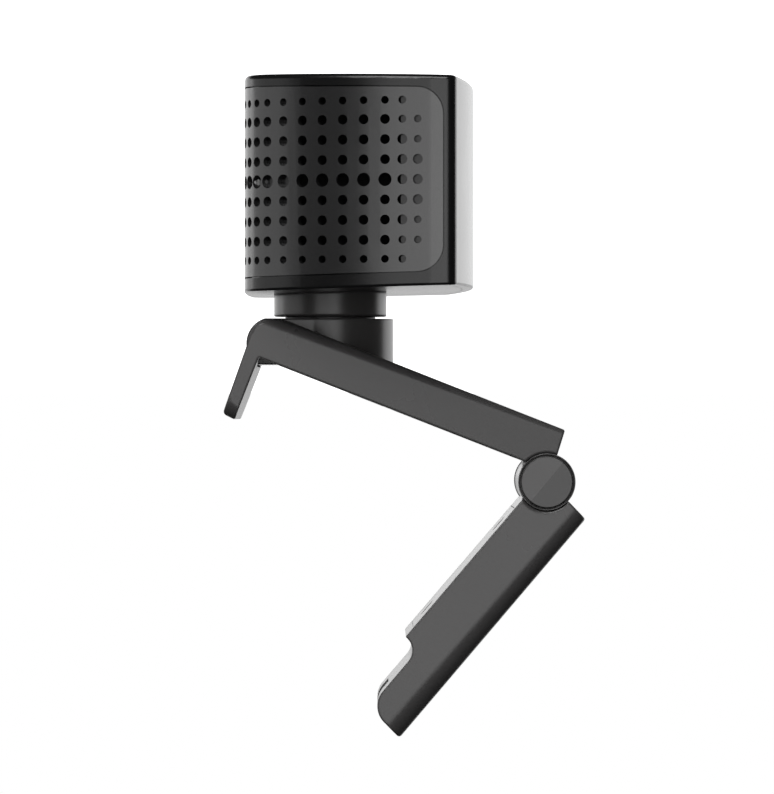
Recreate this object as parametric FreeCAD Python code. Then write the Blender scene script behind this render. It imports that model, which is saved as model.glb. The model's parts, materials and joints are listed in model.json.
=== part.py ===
import FreeCAD, Part
import math
import os
from FreeCAD import Vector

# A bar-shaped webcam on a folding monitor clip, in millimetres.
#
# The origin is the mouth of the tripod thread in the underside of the pivot block, on the axis
# about which the head pans. +Z is up, the lens looks along -X, and the part is symmetric about
# the plane Y = 0. The upper arm and the lower leg are drawn in frames of their own that start
# at the clamp hinge: "along" runs from the hinge down the limb, "out" runs square to it.

# ---------------------------------------------------------------- driving dimensions

# Head shell
HEAD_FRONT_X = -17.0
HEAD_REAR_EDGE_X = 24.8
HEAD_ROOF_FRONT_Z = 56.24
HEAD_ROOF_REAR_Z = 55.3
HEAD_FLOOR_FRONT_Z = 14.0
HEAD_FLOOR_REAR_Z = 15.0
FRONT_CROWN_RADIUS = 557.0
FRONT_CROWN_HEADING = -87.45
CORNER_RADIUS = 10.0
CORNER_HEADING = -36.4
SHOULDER_RADIUS = 50.0
SHOULDER_HEADING = -27.0
END_RADIUS = 70.0
END_HEADING = -5.8
CREASE_RADIUS = 4.0
CREASE_HEADING = 0.5
FLANK_RADIUS = 118.0
FLANK_HEADING = 1.95
REAR_EDGE_RADIUS = 2.1
REAR_CROWN_HEADING = 79.5
ROOF_RIM_ROUND = 0.9
FLOOR_RIM_ROUND = 0.5
WALL = 1.6
SKIN = 2.0
WELL_ABOVE = 80.0
WELL_BEHIND = 60.0

# Parting of the rear cover
PARTING_GAP = 0.12
COVER_THICKNESS = 2.2
TAB_Y = 24.0
TAB_HALF_WIDTH = 4.0
TAB_FRONT_X = 19.0
TAB_REAR_X = 27.5
TAB_THICKNESS = 1.5

# Wrap-round grille panel
PANEL_THICKNESS = 1.3
SEAM_GAP = 0.27
PANEL_REAR_X = 22.0
PANEL_CORNER_RADIUS = 5.1
PANEL_HALF_HEIGHT = 17.73
PANEL_FLARE = 0.0224
PANEL_MID_Z = 35.27
PANEL_FLARE_X = 14.0
LAST_FULL_STATION = 59.3
FRONT_COLUMN_STEPS = (4.25, 4.25, 4.25, 4.25, 4.25, 3.75, 2.8, 2.7, 2.7)
FADING_COLUMN_STEP = 2.7
REAR_COLUMN_STEPS = (3.4, 3.0)
ROW_OFFSETS = (0.0, 3.867, 7.733, 11.6, 15.27)
FULL_HOLES = (1.3, 0.96, 0.96, 0.96, 0.76)
FADING_HOLES = (0.98, 0.98, 0.98, 0.78, 0.78)
LAST_HOLES = (0.98, 0.98, 0.74, 0.74, 0.0)
WINDOW_FRONT_X = -7.0
WINDOW_REAR_X = 13.95
WINDOW_HALF_HEIGHT = 16.5

# Camera
LENS_Z = PANEL_MID_Z
BEZEL_RADIUS = 12.0
WINDOW_RADIUS = 9.6
BARREL_RADIUS = 7.0
BEZEL_STEM_RADIUS = 10.5
STATUS_LIGHT_Y = 14.2
LIGHT_PIPE_RADIUS = 0.7
LIGHT_HOLE_RADIUS = 0.85

# Boards, their screws and the USB inlet
BOARD_THICKNESS = 1.2
SENSOR_BOARD_X = 0.6
SENSOR_BOARD_HALF_Y = 20.0
SENSOR_BOARD_HALF_Z = 11.0
SENSOR_SCREW_Y = 17.0
SENSOR_SCREW_RISE = 8.5
MAIN_BOARD_X = 17.4
MAIN_BOARD_HALF_Y = 30.0
MAIN_BOARD_HALF_Z = 14.5
MAIN_SCREW_Y = 26.5
MAIN_SCREW_RISE = 11.0
PILOT_RADIUS = 0.8
BOARD_HOLE_RADIUS = 1.05
BOARD_SCREW_HEAD = (1.7, 1.2)
INLET_DROP = 9.0
INLET_SHELL = (4.47, 1.58)
INLET_OPENING = (4.17, 1.28)
INLET_CUTOUT = (4.75, 1.85)

# Speakers
SPEAKER_X = 7.0
SPEAKER_RADIUS = 9.3
SPEAKER_FRONT_Y = 33.2
BASKET_DEPTH = 4.2
CONE_DEPTH = 2.2
CONE_THICKNESS = 0.35

# Neck and pan swivel
COLLAR_RADIUS = 11.25
COLLAR_BOTTOM_Z = 9.65
COLLAR_PLUG_RADIUS = 6.0
COLLAR_SCREW_RING = 8.6
CABLE_BORE_RADIUS = 2.0
SPIGOT_RADIUS = 9.0
SPIGOT_BOTTOM_Z = 8.35
SWIVEL_RADIUS = 6.5
SWIVEL_BOTTOM_Z = 6.1
RETAINER_RADIUS = 8.0
RETAINER_BOTTOM_Z = 4.9
RETAINER_SCREW_RING = 4.4
RETAINER_SINK_DEPTH = 0.8
RUNNING_CLEARANCE = 0.05
BLOCK_TOP_Z = 9.12
BLOCK_RADIUS = 12.6
BLOCK_CAVITY_RADIUS = 8.4
BLOCK_CAVITY_TOP_Z = 6.75
COUNTERBORE_RADIUS = 9.3
COUNTERBORE_Z = 7.9
BASE_PLATE_RADIUS = 11.2
BASE_PLATE_THICKNESS = 1.95
BASE_SCREW_RING = 9.8
INSERT_RADIUS = 4.0

# Tilt hinge in the nose of the pivot block
TILT_X = -11.3
TILT_Z = 4.15
NOSE_RADIUS = 5.2
NOSE_HALF_WIDTH = 12.2
TILT_PIN_RADIUS = 1.5

# Tripod thread, 1/4"-20
THREAD_WALL_RADIUS = 2.6
THREAD_DEPTH = 4.6

# Clamp hinge and the two limbs
HINGE_X = 42.8
HINGE_Z = -23.2
ARM_SLOPE = 21.4
LEG_SLOPE = 49.5
KNUCKLE_RADIUS = 5.5
KNUCKLE_HALF_WIDTH = 9.7
KNUCKLE_GAP = 0.4
HINGE_PIN_RADIUS = 2.0
CAP_RADIUS = 5.65
CAP_GROOVE_RADII = (4.95, 5.45)
CAP_GROOVE_DEPTH = 0.7
CAP_ROOM_RADIUS = 5.8
CAP_ROOM_FLARE = 1.0
CAP_SEAT_Y = 15.7
CAP_FACE_Y = 16.9
CAP_FACET_TILT = 2.2
CAP_FACET_ANGLE = 48.0
CAP_STEM_RADIUS = 3.2
CAP_STEM_LENGTH = 1.5

ARM_UNDERSIDE = 2.15
ARM_TOP = 10.85
ARM_HALF_WIDTH_HINGE = 16.5
ARM_HALF_WIDTH_HOOK = 24.0
ARM_LENGTH = 64.7
ARM_CORNER_RADIUS = 5.6
HOOK_THICKNESS = 3.1
HOOK_TIP_OUT = -10.95
HOOK_CORNER_RADIUS = 3.5
ARM_WINDOW_START = 35.5
ARM_WINDOW_HALF_WIDTH = 12.9

LEG_INNER = -1.43
LEG_OUTER = 10.68
LEG_HALF_WIDTH_HINGE = 16.5
LEG_HALF_WIDTH_FOOT = 20.0
LEG_LENGTH = 57.05
LEG_END_SLANT = 0.35
LEG_START_INNER = -0.6
LEG_START_OUTER = 0.55
NOTCH_START = 41.2
FOOT_START = 44.5
FOOT_INNER = 2.1
FOOT_RADIUS = 4.5
FINGER_NOTCH_START = 50.5
FINGER_NOTCH_DEPTH = 2.0
FINGER_NOTCH_HALF_WIDTH = 6.5


# ---------------------------------------------------------------- shape helpers

def box(x0, x1, y0, y1, z0, z1):
    """Block between two corners."""
    return Part.makeBox(x1 - x0, y1 - y0, z1 - z0, Vector(x0, y0, z0))


def rod(start, direction, radius, length):
    """Cylinder from a start point along a direction."""
    return Part.makeCylinder(radius, length, Vector(*start), Vector(*direction))


def tube(start, direction, outer, inner, length):
    """Ring or tube from a start point along a direction."""
    return rod(start, direction, outer, length).cut(rod(start, direction, inner, length))


def upright(radius, z0, z1, x=0.0, y=0.0):
    """Cylinder on a vertical axis between two heights."""
    return rod((x, y, z0), (0, 0, 1), radius, z1 - z0)


def fuse_all(shapes):
    """One solid from several that touch."""
    first, rest = shapes[0], shapes[1:]
    return first.fuse(rest).removeSplitter()


def line(a, b):
    return Part.makeLine(a, b)


def arc(a, middle, b):
    return Part.Arc(a, middle, b).toShape()


def mirrored(shape):
    """The same shape on the other side of the plane Y = 0."""
    return shape.mirror(Vector(0, 0, 0), Vector(0, 1, 0))


def both_sides(shape):
    """A shape and its mirror image, as separate solids."""
    return Part.makeCompound([shape, mirrored(shape)])


def screw(head, direction, shank_radius, length, head_radius, head_height):
    """Pan-head screw: the head rises from its seat point, the shank goes along the direction."""
    back = Vector(*direction).negative()
    shank = rod(head, direction, shank_radius, length)
    cap = Part.makeCylinder(head_radius, head_height, Vector(*head), back)
    slot_centre = Vector(*head) + back * head_height
    recess = Part.makeCone(head_radius * 0.45, head_radius * 0.15, head_height * 0.6,
                           slot_centre, Vector(*direction))
    return fuse_all([shank, cap]).cut(recess)


# ---------------------------------------------------------------- head outline

def turned(point, heading, new_heading, radius):
    """End point of an arc that turns left from one heading to another."""
    a, b = math.radians(heading), math.radians(new_heading)
    return Vector(point.x + radius * (math.sin(b) - math.sin(a)),
                  point.y + radius * (math.cos(a) - math.cos(b)), 0)


def half_outline():
    """Arcs of the plan outline on the -Y side, from the front centre to the rear centre.

    Each entry is (start point, start heading, end heading, radius). Headings are in degrees,
    and every arc starts on the heading on which the last one ended.
    """
    steps = ((FRONT_CROWN_HEADING, FRONT_CROWN_RADIUS),
             (CORNER_HEADING, CORNER_RADIUS),
             (SHOULDER_HEADING, SHOULDER_RADIUS),
             (END_HEADING, END_RADIUS),
             (CREASE_HEADING, CREASE_RADIUS),
             (FLANK_HEADING, FLANK_RADIUS),
             (REAR_CROWN_HEADING, REAR_EDGE_RADIUS))
    arcs = []
    point, heading = Vector(HEAD_FRONT_X, 0, 0), -90.0
    for new_heading, radius in steps:
        arcs.append((point, heading, new_heading, radius))
        point = turned(point, heading, new_heading, radius)
        heading = new_heading
    rear_radius = -point.y / math.cos(math.radians(heading))
    arcs.append((point, heading, 90.0, rear_radius))
    return arcs


def head_outline():
    """Closed plan outline of the head at Z = 0."""
    near = []
    for point, heading, new_heading, radius in half_outline():
        middle = turned(point, heading, (heading + new_heading) / 2, radius)
        near.append(arc(point, middle, turned(point, heading, new_heading, radius)))
    far = [mirrored(edge) for edge in near]
    return Part.Wire(Part.__sortEdges__(near + far))


def outline_station(distance):
    """Point and outward normal of the outline at a distance from the front centre."""
    for point, heading, new_heading, radius in half_outline():
        length = radius * math.radians(new_heading - heading)
        if distance <= length:
            turn = heading + math.degrees(distance / radius)
            place = turned(point, heading, turn, radius)
            angle = math.radians(turn)
            return place, Vector(math.sin(angle), -math.cos(angle), 0)
        distance -= length
    raise ValueError("station beyond the outline")


def head_block(inset, z0, z1):
    """Upright block with the plan outline, shrunk by an inset."""
    face = Part.Face(head_outline())
    if inset > 0:
        face = face.makeOffset2D(-inset, join=2)
    face.translate(Vector(0, 0, z0))
    return face.extrude(Vector(0, 0, z1 - z0))


def slope_z(x, front_z, rear_z):
    """Height of a plane that slopes from the front of the head to its rear edge."""
    run = (x - HEAD_FRONT_X) / (HEAD_REAR_EDGE_X - HEAD_FRONT_X)
    return front_z + run * (rear_z - front_z)


def floor_z(x):
    """Height of the head's underside."""
    return slope_z(x, HEAD_FLOOR_FRONT_Z, HEAD_FLOOR_REAR_Z)


def roof_z(x):
    """Height of the head's top."""
    return slope_z(x, HEAD_ROOF_FRONT_Z, HEAD_ROOF_REAR_Z)


def sloped_cutter(height, offset, far_z):
    """Everything between a sloping plane, moved by an offset, and a level well beyond it."""
    front, rear, reach = -40.0, 50.0, 60.0
    corners = [Vector(front, -reach, far_z), Vector(rear, -reach, far_z),
               Vector(rear, -reach, height(rear) + offset), Vector(front, -reach, height(front) + offset)]
    return Part.Face(Part.makePolygon(corners + corners[:1])).extrude(Vector(0, 2 * reach, 0))


def below_floor(rise=0.0):
    """Everything under the head's underside, raised by a wall thickness."""
    return sloped_cutter(floor_z, rise, -5.0)


def above_roof(drop=0.0):
    """Everything over the head's top, lowered by a wall thickness."""
    return sloped_cutter(roof_z, -drop, WELL_ABOVE + 10.0)


def head_envelope():
    """Outer solid of the head, with rounded rims."""
    solid = head_block(0, 10.0, WELL_ABOVE).cut([below_floor(), above_roof()])
    for radius, high in ((ROOF_RIM_ROUND, True), (FLOOR_RIM_ROUND, False)):
        rim = [edge for edge in solid.Edges
               if edge.BoundBox.ZLength < 3.0 and (edge.BoundBox.ZMin > PANEL_MID_Z) == high]
        solid = solid.makeFillet(radius, rim)
    return solid


# ---------------------------------------------------------------- head pieces

def panel_prism(grow):
    """Side view of the grille panel, run through the whole width of the head."""
    front_x = HEAD_FRONT_X - 10.0
    rear_x = PANEL_REAR_X + grow
    radius = PANEL_CORNER_RADIUS + grow

    def half_height(x):
        return PANEL_HALF_HEIGHT + grow + (PANEL_FLARE_X - x) * PANEL_FLARE

    y = -60.0
    corner_x = rear_x - radius
    top, bottom = PANEL_MID_Z + half_height(corner_x), PANEL_MID_Z - half_height(corner_x)
    slant = radius * (1 - math.sqrt(0.5))
    edges = [
        line(Vector(front_x, y, PANEL_MID_Z - half_height(front_x)), Vector(corner_x, y, bottom)),
        arc(Vector(corner_x, y, bottom), Vector(rear_x - slant, y, bottom + slant),
            Vector(rear_x, y, bottom + radius)),
        line(Vector(rear_x, y, bottom + radius), Vector(rear_x, y, top - radius)),
        arc(Vector(rear_x, y, top - radius), Vector(rear_x - slant, y, top - slant),
            Vector(corner_x, y, top)),
        line(Vector(corner_x, y, top), Vector(front_x, y, PANEL_MID_Z + half_height(front_x))),
        line(Vector(front_x, y, PANEL_MID_Z + half_height(front_x)),
             Vector(front_x, y, PANEL_MID_Z - half_height(front_x)))]
    return Part.Face(Part.Wire(edges)).extrude(Vector(0, 120, 0))


def hole_columns():
    """(distance from the front centre, hole radii by row) of each column on one side."""
    distance = LAST_FULL_STATION
    columns = [(distance, FULL_HOLES)]
    for step in FRONT_COLUMN_STEPS:
        distance -= step
        columns.append((distance, FULL_HOLES))
    columns.append((distance - FADING_COLUMN_STEP, FADING_HOLES))
    fading, last = REAR_COLUMN_STEPS
    columns.append((LAST_FULL_STATION + fading, FADING_HOLES))
    columns.append((LAST_FULL_STATION + fading + last, LAST_HOLES))
    return columns


def panel_holes():
    """Cutters for the sound holes at both ends, each square to the surface."""
    cutters = []
    for distance, radii in hole_columns():
        place, outward = outline_station(distance)
        for row, radius in zip(ROW_OFFSETS, radii):
            if radius == 0:
                continue
            for z in {PANEL_MID_Z + row, PANEL_MID_Z - row}:
                start = Vector(place.x, place.y, z) + outward
                cutter = Part.makeCylinder(radius, PANEL_THICKNESS + 2.2, start, outward.negative())
                cutters += [cutter, mirrored(cutter)]
    return cutters


def wrap_grille(envelope):
    """Perforated panel that wraps both ends and the front."""
    shell = envelope.common(panel_prism(0)).cut(head_block(PANEL_THICKNESS, 0, WELL_ABOVE))
    lens_hole = rod((HEAD_FRONT_X - 5, 0, LENS_Z), (1, 0, 0), BEZEL_RADIUS + 0.1, 12)
    light_hole = rod((HEAD_FRONT_X - 5, STATUS_LIGHT_Y, LENS_Z), (1, 0, 0), LIGHT_HOLE_RADIUS, 12)
    return shell.cut([lens_hole, light_hole] + panel_holes())


def window_block(rim):
    """Region behind the columns of holes that go right through, at one end."""
    reach = WINDOW_HALF_HEIGHT + rim
    return box(WINDOW_FRONT_X - rim, WINDOW_REAR_X + rim, -60, -20, PANEL_MID_Z - reach, PANEL_MID_Z + reach)


def rear_parting(gap):
    """Everything behind the parting surface between housing and rear cover."""
    cover_thickness = COVER_THICKNESS + gap
    rear_half_width = -half_outline()[-1][0].y - 0.3 + gap
    inner = head_block(0, 0, WELL_ABOVE)
    inner.translate(Vector(-cover_thickness, 0, 0))
    band = box(HEAD_REAR_EDGE_X - 8, WELL_BEHIND, -rear_half_width, rear_half_width, 0, WELL_ABOVE)
    return band.cut(inner)


def front_housing(envelope):
    """Outer shell and chassis of the head."""
    pocket = panel_prism(SEAM_GAP).cut(head_block(PANEL_THICKNESS + 0.05, 0, WELL_ABOVE))
    cavity = head_block(PANEL_THICKNESS + WALL, 0, WELL_ABOVE)
    cavity = cavity.cut([below_floor(SKIN), above_roof(SKIN)])
    open_back = cavity.copy()
    open_back.translate(Vector(4, 0, 0))
    housing = envelope.cut([pocket, cavity, open_back, rear_parting(PARTING_GAP)])
    windows = [window_block(0), mirrored(window_block(0))]
    lens_hole = rod((HEAD_FRONT_X - 5, 0, LENS_Z), (1, 0, 0), BEZEL_STEM_RADIUS + 0.1, 12)
    light_hole = rod((HEAD_FRONT_X - 5, STATUS_LIGHT_Y, LENS_Z), (1, 0, 0), LIGHT_HOLE_RADIUS + 0.1, 12)
    neck_hole = upright(COLLAR_PLUG_RADIUS + 0.05, 5, 20)
    housing = housing.cut(windows + [lens_hole, light_hole, neck_hole] + collar_screw_holes(1.1))
    housing = fuse_all([housing] + sensor_bosses())
    return housing.cut(sensor_screw_shanks(PILOT_RADIUS))


def four_corners(half_y, mid_z, rise):
    """Corners of an upright rectangle, as (Y, Z)."""
    return [(side * half_y, mid_z + step * rise) for side in (-1, 1) for step in (-1, 1)]


def sensor_screw_places():
    return four_corners(SENSOR_SCREW_Y, LENS_Z, SENSOR_SCREW_RISE)


def sensor_bosses():
    """Posts from the front wall to the sensor board."""
    start = HEAD_FRONT_X + 2.4
    return [rod((start, y, z), (1, 0, 0), 2.0, SENSOR_BOARD_X - start) for y, z in sensor_screw_places()]


def sensor_screw_shanks(radius):
    return [rod((SENSOR_BOARD_X + 2, y, z), (-1, 0, 0), radius, 8.0)
            for y, z in sensor_screw_places()]


def ring_places(radius, angles):
    """Points on a circle round the pan axis, at angles from +X."""
    return [(radius * math.cos(math.radians(a)), radius * math.sin(math.radians(a))) for a in angles]


def collar_screw_places():
    return ring_places(COLLAR_SCREW_RING, (60, 180, 300))


def collar_screw_holes(radius):
    return [upright(radius, 10.5, 20.0, x, y) for x, y in collar_screw_places()]


def rear_cover(envelope):
    """Crowned back cover with snap tabs and four board posts."""
    cover = envelope.common(rear_parting(0))
    inner_x = MAIN_BOARD_X + BOARD_THICKNESS
    posts = [rod((inner_x, y, z), (1, 0, 0), 2.2, 9.0) for y, z in main_board_screw_places()]
    tab_top = roof_z(TAB_REAR_X) - SKIN - 0.2
    tab_bottom = floor_z(TAB_REAR_X) + SKIN + 0.2
    tabs = []
    for y in (-TAB_Y, TAB_Y):
        for z in (tab_top - TAB_THICKNESS, tab_bottom):
            tabs.append(box(TAB_FRONT_X, TAB_REAR_X, y - TAB_HALF_WIDTH, y + TAB_HALF_WIDTH,
                            z, z + TAB_THICKNESS))
    behind = rear_parting(-0.8)
    cover = fuse_all([cover] + [piece.cut(behind) for piece in posts + tabs])
    inlet = rounded_slot(inner_x, WELL_BEHIND, *INLET_CUTOUT)
    shanks = [rod((inner_x - 2, y, z), (1, 0, 0), PILOT_RADIUS, 7.5) for y, z in main_board_screw_places()]
    return cover.cut([inlet] + shanks)


def rounded_slot(x0, x1, half_y, half_z):
    """Stadium-shaped block along X at the height of the USB inlet."""
    z = inlet_z()
    middle = box(x0, x1, -(half_y - half_z), half_y - half_z, z - half_z, z + half_z)
    ends = [rod((x0, y, z), (1, 0, 0), half_z, x1 - x0) for y in (-(half_y - half_z), half_y - half_z)]
    return fuse_all([middle] + ends)


def inlet_z():
    return PANEL_MID_Z - INLET_DROP


def main_board_screw_places():
    return four_corners(MAIN_SCREW_Y, PANEL_MID_Z, MAIN_SCREW_RISE)


def acoustic_mesh():
    """Black mesh sheet on the inside of the housing, behind one end's window."""
    outer, inner = PANEL_THICKNESS + WALL + 0.02, PANEL_THICKNESS + WALL + 0.3
    sheet = head_block(outer, 0, WELL_ABOVE).cut(head_block(inner, -1, WELL_ABOVE + 1))
    return sheet.common(window_block(0.35))


def lens_bezel():
    """Stepped ring that fills the hole in the panel and holds the front glass."""
    front = HEAD_FRONT_X + 0.15
    ring = tube((front, 0, LENS_Z), (1, 0, 0), BEZEL_RADIUS, WINDOW_RADIUS, 1.15)
    stem = tube((front + 1.15, 0, LENS_Z), (1, 0, 0), BEZEL_STEM_RADIUS, BARREL_RADIUS + 0.6, 3.4)
    seat = tube((front + 1.15, 0, LENS_Z), (1, 0, 0), BEZEL_STEM_RADIUS, WINDOW_RADIUS - 1.6, 0.6)
    funnel = Part.makeCone(WINDOW_RADIUS + 1.4, WINDOW_RADIUS, 0.7,
                           Vector(front - 0.01, 0, LENS_Z), Vector(1, 0, 0))
    return fuse_all([ring, stem, seat]).cut(funnel)


def lens_window():
    return rod((HEAD_FRONT_X + 0.35, 0, LENS_Z), (1, 0, 0), WINDOW_RADIUS - 0.03, 0.93)


def lens_barrel():
    """Threaded barrel with a stepped, conical mouth."""
    front = HEAD_FRONT_X + 3.0
    rear = SENSOR_BOARD_X - 4.0
    body = rod((front, 0, LENS_Z), (1, 0, 0), BARREL_RADIUS, rear - front)
    neck_down = tube((front + 6.0, 0, LENS_Z), (1, 0, 0), BARREL_RADIUS + 1, BARREL_RADIUS - 1.2,
                     rear - front)
    mouth = Part.makeCone(5.9, 4.4, 2.0, Vector(front - 0.01, 0, LENS_Z), Vector(1, 0, 0))
    bore = rod((front, 0, LENS_Z), (1, 0, 0), 4.4, rear - front)
    return body.cut([neck_down, mouth, bore])


def lens_element(x, radius, thickness, curve):
    """Double-convex glass element."""
    disc = rod((x, 0, LENS_Z), (1, 0, 0), radius, thickness)
    front_ball = Part.makeSphere(curve, Vector(x + curve, 0, LENS_Z))
    rear_ball = Part.makeSphere(curve, Vector(x + thickness - curve, 0, LENS_Z))
    return disc.common(front_ball).common(rear_ball)


def lens_holder():
    """Square base with the collar that the barrel screws into."""
    base = box(SENSOR_BOARD_X - 2.6, SENSOR_BOARD_X, -8, 8, LENS_Z - 8, LENS_Z + 8)
    collar = rod((SENSOR_BOARD_X - 8.0, 0, LENS_Z), (1, 0, 0), 7.4, 6.0)
    bore = rod((SENSOR_BOARD_X - 9.0, 0, LENS_Z), (1, 0, 0), BARREL_RADIUS - 1.2, 5.1)
    light_path = rod((SENSOR_BOARD_X - 9.0, 0, LENS_Z), (1, 0, 0), 4.0, 12)
    sensor_room = box(SENSOR_BOARD_X - 1.6, SENSOR_BOARD_X + 1, -5.5, 5.5, LENS_Z - 5.5, LENS_Z + 5.5)
    filter_seat = box(SENSOR_BOARD_X - 2.1, SENSOR_BOARD_X, -4.6, 4.6, LENS_Z - 4.6, LENS_Z + 4.6)
    return fuse_all([base, collar]).cut([bore, light_path, sensor_room, filter_seat])


def ir_filter():
    """Thin glass in the holder's seat, in front of the sensor."""
    rear = SENSOR_BOARD_X - 1.65
    return box(rear - 0.4, rear, -4.5, 4.5, LENS_Z - 4.5, LENS_Z + 4.5)


def image_sensor():
    return box(SENSOR_BOARD_X - 1.0, SENSOR_BOARD_X, -5, 5, LENS_Z - 5, LENS_Z + 5)


def sensor_board():
    x0, x1 = SENSOR_BOARD_X, SENSOR_BOARD_X + BOARD_THICKNESS
    board = box(x0, x1, -SENSOR_BOARD_HALF_Y, SENSOR_BOARD_HALF_Y,
                LENS_Z - SENSOR_BOARD_HALF_Z, LENS_Z + SENSOR_BOARD_HALF_Z)
    return board.cut(sensor_screw_shanks(BOARD_HOLE_RADIUS))


def sensor_board_screws():
    seat = SENSOR_BOARD_X + BOARD_THICKNESS
    return Part.makeCompound([screw((seat, y, z), (-1, 0, 0), PILOT_RADIUS, 6.0, *BOARD_SCREW_HEAD)
                              for y, z in sensor_screw_places()])


def main_board():
    x0, x1 = MAIN_BOARD_X, MAIN_BOARD_X + BOARD_THICKNESS
    board = box(x0, x1, -MAIN_BOARD_HALF_Y, MAIN_BOARD_HALF_Y,
                PANEL_MID_Z - MAIN_BOARD_HALF_Z, PANEL_MID_Z + MAIN_BOARD_HALF_Z)
    holes = [rod((x0 - 1, y, z), (1, 0, 0), BOARD_HOLE_RADIUS, 4) for y, z in main_board_screw_places()]
    return board.cut(holes)


def main_board_screws():
    return Part.makeCompound([screw((MAIN_BOARD_X, y, z), (1, 0, 0), PILOT_RADIUS, 5.5, *BOARD_SCREW_HEAD)
                              for y, z in main_board_screw_places()])


def ribbon_cable():
    """Flat cable between the two boards, with a connector at each end."""
    x0, x1 = SENSOR_BOARD_X + BOARD_THICKNESS, MAIN_BOARD_X
    z = LENS_Z - 6.5
    ends = [box(x0, x0 + 1.4, -5.5, 5.5, z - 1.6, z + 1.6), box(x1 - 1.4, x1, -5.5, 5.5, z - 1.6, z + 1.6)]
    strip = box(x0 + 1.0, x1 - 1.0, -4.5, 4.5, z - 0.15, z + 0.15)
    return fuse_all([strip] + ends)


def heat_spreader():
    """Pressed shield can with fins on the back of the main board."""
    x0 = MAIN_BOARD_X + BOARD_THICKNESS
    z = PANEL_MID_Z + 3.5
    can = box(x0, x0 + 2.0, -12, 12, z - 7, z + 7)
    fins = [box(x0 + 2.0, x0 + 4.4, y - 0.5, y + 0.5, z - 6.5, z + 6.5) for y in range(-10, 11, 4)]
    return fuse_all([can] + fins)


def usb_inlet():
    """USB-C receptacle shell, standing on the main board and open at the back of the head."""
    x0 = MAIN_BOARD_X + BOARD_THICKNESS
    shell = rounded_slot(x0, x0 + 9.2, *INLET_SHELL)
    hollow = rounded_slot(x0 + 0.5, x0 + 10, *INLET_OPENING)
    return shell.cut(hollow)


def usb_tongue():
    x0 = MAIN_BOARD_X + BOARD_THICKNESS + 0.5
    return box(x0, x0 + 7.4, -3.35, 3.35, inlet_z() - 0.35, inlet_z() + 0.35)


def microphones():
    """Two surface-mounted microphones on the front of the sensor board."""
    x1 = SENSOR_BOARD_X
    return both_sides(box(x1 - 1.1, x1, -15.0, -11.5, LENS_Z - 6.3, LENS_Z - 3.7))


def status_led():
    y = STATUS_LIGHT_Y
    return box(SENSOR_BOARD_X - 0.8, SENSOR_BOARD_X, y - 0.8, y + 0.8, LENS_Z - 0.8, LENS_Z + 0.8)


def status_light_pipe():
    start = HEAD_FRONT_X + 0.75
    return rod((start, STATUS_LIGHT_Y, LENS_Z), (1, 0, 0), LIGHT_PIPE_RADIUS, SENSOR_BOARD_X - 1.0 - start)


def speaker(part):
    """One piece of the -Y speaker, whose axis runs along Y and whose cone faces outwards."""
    centre = (SPEAKER_X, -SPEAKER_FRONT_Y, PANEL_MID_Z)
    inward = (0, 1, 0)
    if part == "frame":
        basket = rod(centre, inward, SPEAKER_RADIUS, BASKET_DEPTH)
        bowl = Part.makeCone(SPEAKER_RADIUS - 0.9, 4.6, 3.4, Vector(*centre), Vector(*inward))
        pole_hole = rod(centre, inward, 3.6, 6)
        return basket.cut([bowl, pole_hole])
    back = (SPEAKER_X, -SPEAKER_FRONT_Y + BASKET_DEPTH, PANEL_MID_Z)
    if part == "magnet":
        return fuse_all([rod(back, inward, 6.6, 2.6), rod(back, (0, -1, 0), 2.9, 1.6)])
    start = (SPEAKER_X, -SPEAKER_FRONT_Y + 0.15, PANEL_MID_Z)
    rim, centre_radius = SPEAKER_RADIUS - 1.4, 3.2
    outer = Part.makeCone(rim, centre_radius, CONE_DEPTH, Vector(*start), Vector(*inward))
    inner = Part.makeCone(rim - CONE_THICKNESS, centre_radius - CONE_THICKNESS, CONE_DEPTH - 0.3,
                          Vector(*start), Vector(*inward))
    return outer.cut(inner)


# ---------------------------------------------------------------- neck and pivot block

def neck_collar():
    """Upper neck: a cylinder under the head, with the spigot that turns in the pivot block."""
    body = upright(COLLAR_RADIUS, COLLAR_BOTTOM_Z, 17.0)
    body = body.common(below_floor())
    edge = [e for e in body.Edges if e.BoundBox.ZLength < 0.01 and e.BoundBox.ZMin < COLLAR_BOTTOM_Z + 0.1]
    body = body.makeFillet(0.3, edge)
    plug = upright(COLLAR_PLUG_RADIUS, COLLAR_BOTTOM_Z, floor_z(0) + 2.6)
    spigot = upright(SPIGOT_RADIUS, SPIGOT_BOTTOM_Z, COLLAR_BOTTOM_Z)
    journal = upright(SWIVEL_RADIUS, SWIVEL_BOTTOM_Z, COLLAR_BOTTOM_Z)
    holes = collar_screw_holes(0.85) + retainer_screw_holes(PILOT_RADIUS)
    bore = upright(CABLE_BORE_RADIUS, 5.0, 25.0)
    return fuse_all([body, plug, spigot, journal]).cut(holes + [bore])


def collar_screws():
    """Screws from inside the head down into the collar."""
    return Part.makeCompound([screw((x, y, floor_z(x) + 2.3), (0, 0, -1), PILOT_RADIUS, 5.5, 1.6, 1.1)
                              for x, y in collar_screw_places()])


def retainer_screw_places():
    return ring_places(RETAINER_SCREW_RING, (0, 120, 240))


def retainer_screw_holes(radius):
    return [upright(radius, 4.0, 9.6, x, y) for x, y in retainer_screw_places()]


def swivel_retainer():
    """Steel disc that keeps the collar in the block."""
    disc = upright(RETAINER_RADIUS, RETAINER_BOTTOM_Z, SWIVEL_BOTTOM_Z).cut(upright(CABLE_BORE_RADIUS, 4, 7))
    sinks = [Part.makeCone(1.7, 0.9, RETAINER_SINK_DEPTH, Vector(x, y, RETAINER_BOTTOM_Z), Vector(0, 0, 1))
             for x, y in retainer_screw_places()]
    return disc.cut(retainer_screw_holes(0.9) + sinks)


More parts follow.
